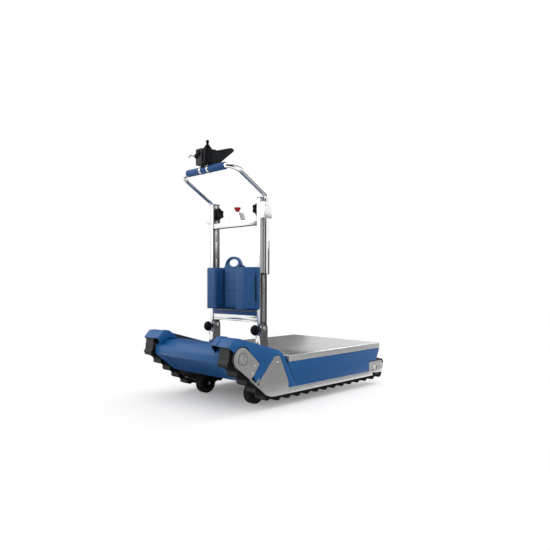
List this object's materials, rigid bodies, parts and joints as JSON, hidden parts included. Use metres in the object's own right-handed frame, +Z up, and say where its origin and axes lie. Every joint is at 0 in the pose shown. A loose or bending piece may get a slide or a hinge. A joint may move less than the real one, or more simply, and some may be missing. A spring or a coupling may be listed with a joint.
{
  "type": "tracked stair climbing trolley",
  "caption": "Powered trolley on two lugged rubber tracks with a flat load deck, a folding column with a battery and a height-adjustable handle with a joystick.",
  "frame": {"origin": "on the floor, under the middle of the bounding box", "axes": "+Z up, +Y towards the rear of the load deck, +X to the right of a person at the handle who faces the deck"},
  "size_m": [0.633, 1.1229, 1.208],
  "materials": {
    "blue_paint": "blue powder coat on folded sheet",
    "battery_shell": "blue moulded shell",
    "zinc_steel": "zinc-plated sheet and turned parts",
    "frame_steel": "dark coated steel tube",
    "aluminium": "brushed extrusion",
    "deck_sheet": "folded sheet, fine brushed grain",
    "chrome_tube": "polished tube",
    "track_rubber": "moulded track rubber",
    "wheel_rubber": "solid tyre",
    "grip_rubber": "blue sleeve",
    "black_plastic": "moulded, fine texture",
    "grey_plastic": "moulded, fine texture",
    "red_plastic": "moulded, glossy",
    "motor_casting": "cast gearbox and motor can"
  },
  "bodies": {
    "base": {"chassis_frame": "frame_steel", "load_deck": "deck_sheet", "drum_cover": "blue_paint", "side_skirt_r": "blue_paint", "side_skirt_l": "blue_paint", "inner_plate_r": "zinc_steel", "inner_plate_l": "zinc_steel", "pulley_plate_r": "zinc_steel", "pulley_plate_l": "zinc_steel", "bend_plate_r": "zinc_steel", "bend_plate_l": "zinc_steel", "tensioner_plate_r": "zinc_steel", "tensioner_plate_l": "zinc_steel", "track_rail_r": "aluminium", "track_rail_l": "aluminium", "track_belt_r": "track_rubber", "track_belt_l": "track_rubber", "front_cover_r": "blue_paint", "front_cover_l": "blue_paint", "inner_cover_r": "blue_paint", "inner_cover_l": "blue_paint", "drive_motor_r": "motor_casting", "drive_motor_l": "motor_casting", "foot_bracket_r": "zinc_steel", "foot_bracket_l": "zinc_steel", "fold_pin_r": "zinc_steel", "fold_pin_l": "zinc_steel"},
    "drive_pulley_r": {"drive_pulley_r": "zinc_steel"},
    "drive_pulley_l": {"drive_pulley_l": "zinc_steel"},
    "rear_roller_r": {"rear_roller_r": "zinc_steel"},
    "rear_roller_l": {"rear_roller_l": "zinc_steel"},
    "press_roller_r": {"press_roller_r": "zinc_steel"},
    "press_roller_l": {"press_roller_l": "zinc_steel"},
    "wheel_lift": {"wheel_lift_frame": "frame_steel"},
    "front_wheel_r": {"front_wheel_r": "wheel_rubber"},
    "front_wheel_l": {"front_wheel_l": "wheel_rubber"},
    "castor_lift": {"castor_lift_frame": "frame_steel"},
    "castor_fork_r": {"castor_fork_r": "zinc_steel"},
    "castor_fork_l": {"castor_fork_l": "zinc_steel"},
    "castor_wheel_r": {"castor_wheel_r": "wheel_rubber"},
    "castor_wheel_l": {"castor_wheel_l": "wheel_rubber"},
    "column": {"upright_r": "aluminium", "upright_l": "aluminium", "upper_cross_plate": "aluminium", "battery_tray": "blue_paint", "tube_clamp_r": "aluminium", "tube_clamp_l": "aluminium"},
    "clamp_knob_r": {"clamp_knob_r": "black_plastic"},
    "clamp_knob_l": {"clamp_knob_l": "black_plastic"},
    "fold_knob_r": {"fold_knob_r": "black_plastic"},
    "fold_knob_l": {"fold_knob_l": "black_plastic"},
    "stop_button": {"stop_button": "red_plastic"},
    "battery": {"battery_pack": "battery_shell"},
    "handle": {"handle_tube": "chrome_tube", "grip_sleeve": "grip_rubber", "control_pod": "black_plastic", "switch_box": "grey_plastic"},
    "joystick_gimbal": {"joystick_gimbal": "grey_plastic"},
    "joystick": {"joystick": "black_plastic"},
    "speed_lever": {"speed_lever": "black_plastic"}
  },
  "joints": [
    {"name": "drive_pulley_spin_r", "type": "hinge", "parent": "base", "child": "drive_pulley_r", "pos_m": [0.279, -0.4925, 0.238], "axis": [1, 0, 0], "continuous": true},
    {"name": "drive_pulley_spin_l", "type": "hinge", "parent": "base", "child": "drive_pulley_l", "pos_m": [-0.279, -0.4925, 0.238], "axis": [1, 0, 0], "continuous": true},
    {"name": "rear_roller_spin_r", "type": "hinge", "parent": "base", "child": "rear_roller_r", "pos_m": [0.279, 0.5053, 0.094], "axis": [1, 0, 0], "continuous": true},
    {"name": "rear_roller_spin_l", "type": "hinge", "parent": "base", "child": "rear_roller_l", "pos_m": [-0.279, 0.5053, 0.094], "axis": [1, 0, 0], "continuous": true},
    {"name": "press_roller_spin_r", "type": "hinge", "parent": "base", "child": "press_roller_r", "pos_m": [0.279, -0.2825, 0.203], "axis": [1, 0, 0], "continuous": true},
    {"name": "press_roller_spin_l", "type": "hinge", "parent": "base", "child": "press_roller_l", "pos_m": [-0.279, -0.2825, 0.203], "axis": [1, 0, 0], "continuous": true},
    {"name": "wheel_lift", "type": "hinge", "parent": "base", "child": "wheel_lift", "pos_m": [0, -0.2215, 0.079], "axis": [-1, 0, 0], "range_deg": [0, 25]},
    {"name": "castor_lift", "type": "hinge", "parent": "base", "child": "castor_lift", "pos_m": [0, 0.3035, 0.114], "axis": [1, 0, 0], "range_deg": [0, 23]},
    {"name": "front_wheel_spin_r", "type": "hinge", "parent": "wheel_lift", "child": "front_wheel_r", "pos_m": [0.177, -0.2965, 0.05], "axis": [1, 0, 0], "continuous": true},
    {"name": "front_wheel_spin_l", "type": "hinge", "parent": "wheel_lift", "child": "front_wheel_l", "pos_m": [-0.177, -0.2965, 0.05], "axis": [1, 0, 0], "continuous": true},
    {"name": "castor_swivel_r", "type": "hinge", "parent": "castor_lift", "child": "castor_fork_r", "pos_m": [0.165, 0.3935, 0.096], "axis": [0, 0, 1], "continuous": true},
    {"name": "castor_swivel_l", "type": "hinge", "parent": "castor_lift", "child": "castor_fork_l", "pos_m": [-0.165, 0.3935, 0.096], "axis": [0, 0, 1], "continuous": true},
    {"name": "castor_wheel_spin_r", "type": "hinge", "parent": "castor_fork_r", "child": "castor_wheel_r", "pos_m": [0.165, 0.4175, 0.04], "axis": [1, 0, 0], "continuous": true},
    {"name": "castor_wheel_spin_l", "type": "hinge", "parent": "castor_fork_l", "child": "castor_wheel_l", "pos_m": [-0.165, 0.4175, 0.04], "axis": [1, 0, 0], "continuous": true},
    {"name": "column_fold", "type": "hinge", "parent": "base", "child": "column", "pos_m": [0, -0.239, 0.343], "axis": [-1, 0, 0], "range_deg": [0, 90]},
    {"name": "clamp_knob_turn_r", "type": "hinge", "parent": "column", "child": "clamp_knob_r", "pos_m": [0.155, -0.239, 0.903], "axis": [-1, 0, 0], "continuous": true},
    {"name": "clamp_knob_turn_l", "type": "hinge", "parent": "column", "child": "clamp_knob_l", "pos_m": [-0.155, -0.239, 0.903], "axis": [1, 0, 0], "continuous": true},
    {"name": "fold_knob_turn_r", "type": "hinge", "parent": "column", "child": "fold_knob_r", "pos_m": [0.1725, -0.276, 0.335], "axis": [0, -1, 0], "continuous": true},
    {"name": "fold_knob_turn_l", "type": "hinge", "parent": "column", "child": "fold_knob_l", "pos_m": [-0.1725, -0.276, 0.335], "axis": [0, -1, 0], "continuous": true},
    {"name": "stop_button_press", "type": "slide", "parent": "column", "child": "stop_button", "axis": [0, 0, -1], "range_m": [0, 0.006], "stiffness_N_per_m": 600},
    {"name": "battery_lift", "type": "slide", "parent": "column", "child": "battery", "axis": [0, 0, 1], "range_m": [0, 0.12]},
    {"name": "handle_slide", "type": "slide", "parent": "column", "child": "handle", "axis": [0, 0, 1], "range_m": [0, 0.2]},
    {"name": "joystick_tilt_side", "type": "hinge", "parent": "handle", "child": "joystick_gimbal", "pos_m": [0.029, -0.4485, 1.174], "axis": [0, 1, 0], "range_deg": [-15, 15], "stiffness_Nm_per_rad": 0.3},
    {"name": "joystick_tilt_ahead", "type": "hinge", "parent": "joystick_gimbal", "child": "joystick", "pos_m": [0.029, -0.4485, 1.174], "axis": [1, 0, 0], "range_deg": [-15, 15], "stiffness_Nm_per_rad": 0.3},
    {"name": "speed_lever_turn", "type": "hinge", "parent": "handle", "child": "speed_lever", "pos_m": [-0.03, -0.4658, 1.143], "axis": [0, 1, 0], "range_deg": [-25, 25]}
  ],
  "couplings": [
    {"joint": "rear_roller_spin_r", "follows": "drive_pulley_spin_r", "ratio": 1.2195},
    {"joint": "rear_roller_spin_l", "follows": "drive_pulley_spin_l", "ratio": 1.2195},
    {"joint": "press_roller_spin_r", "follows": "drive_pulley_spin_r", "ratio": -1.1364},
    {"joint": "press_roller_spin_l", "follows": "drive_pulley_spin_l", "ratio": -1.1364},
    {"joint": "castor_lift", "follows": "wheel_lift", "ratio": 0.92}
  ]
}
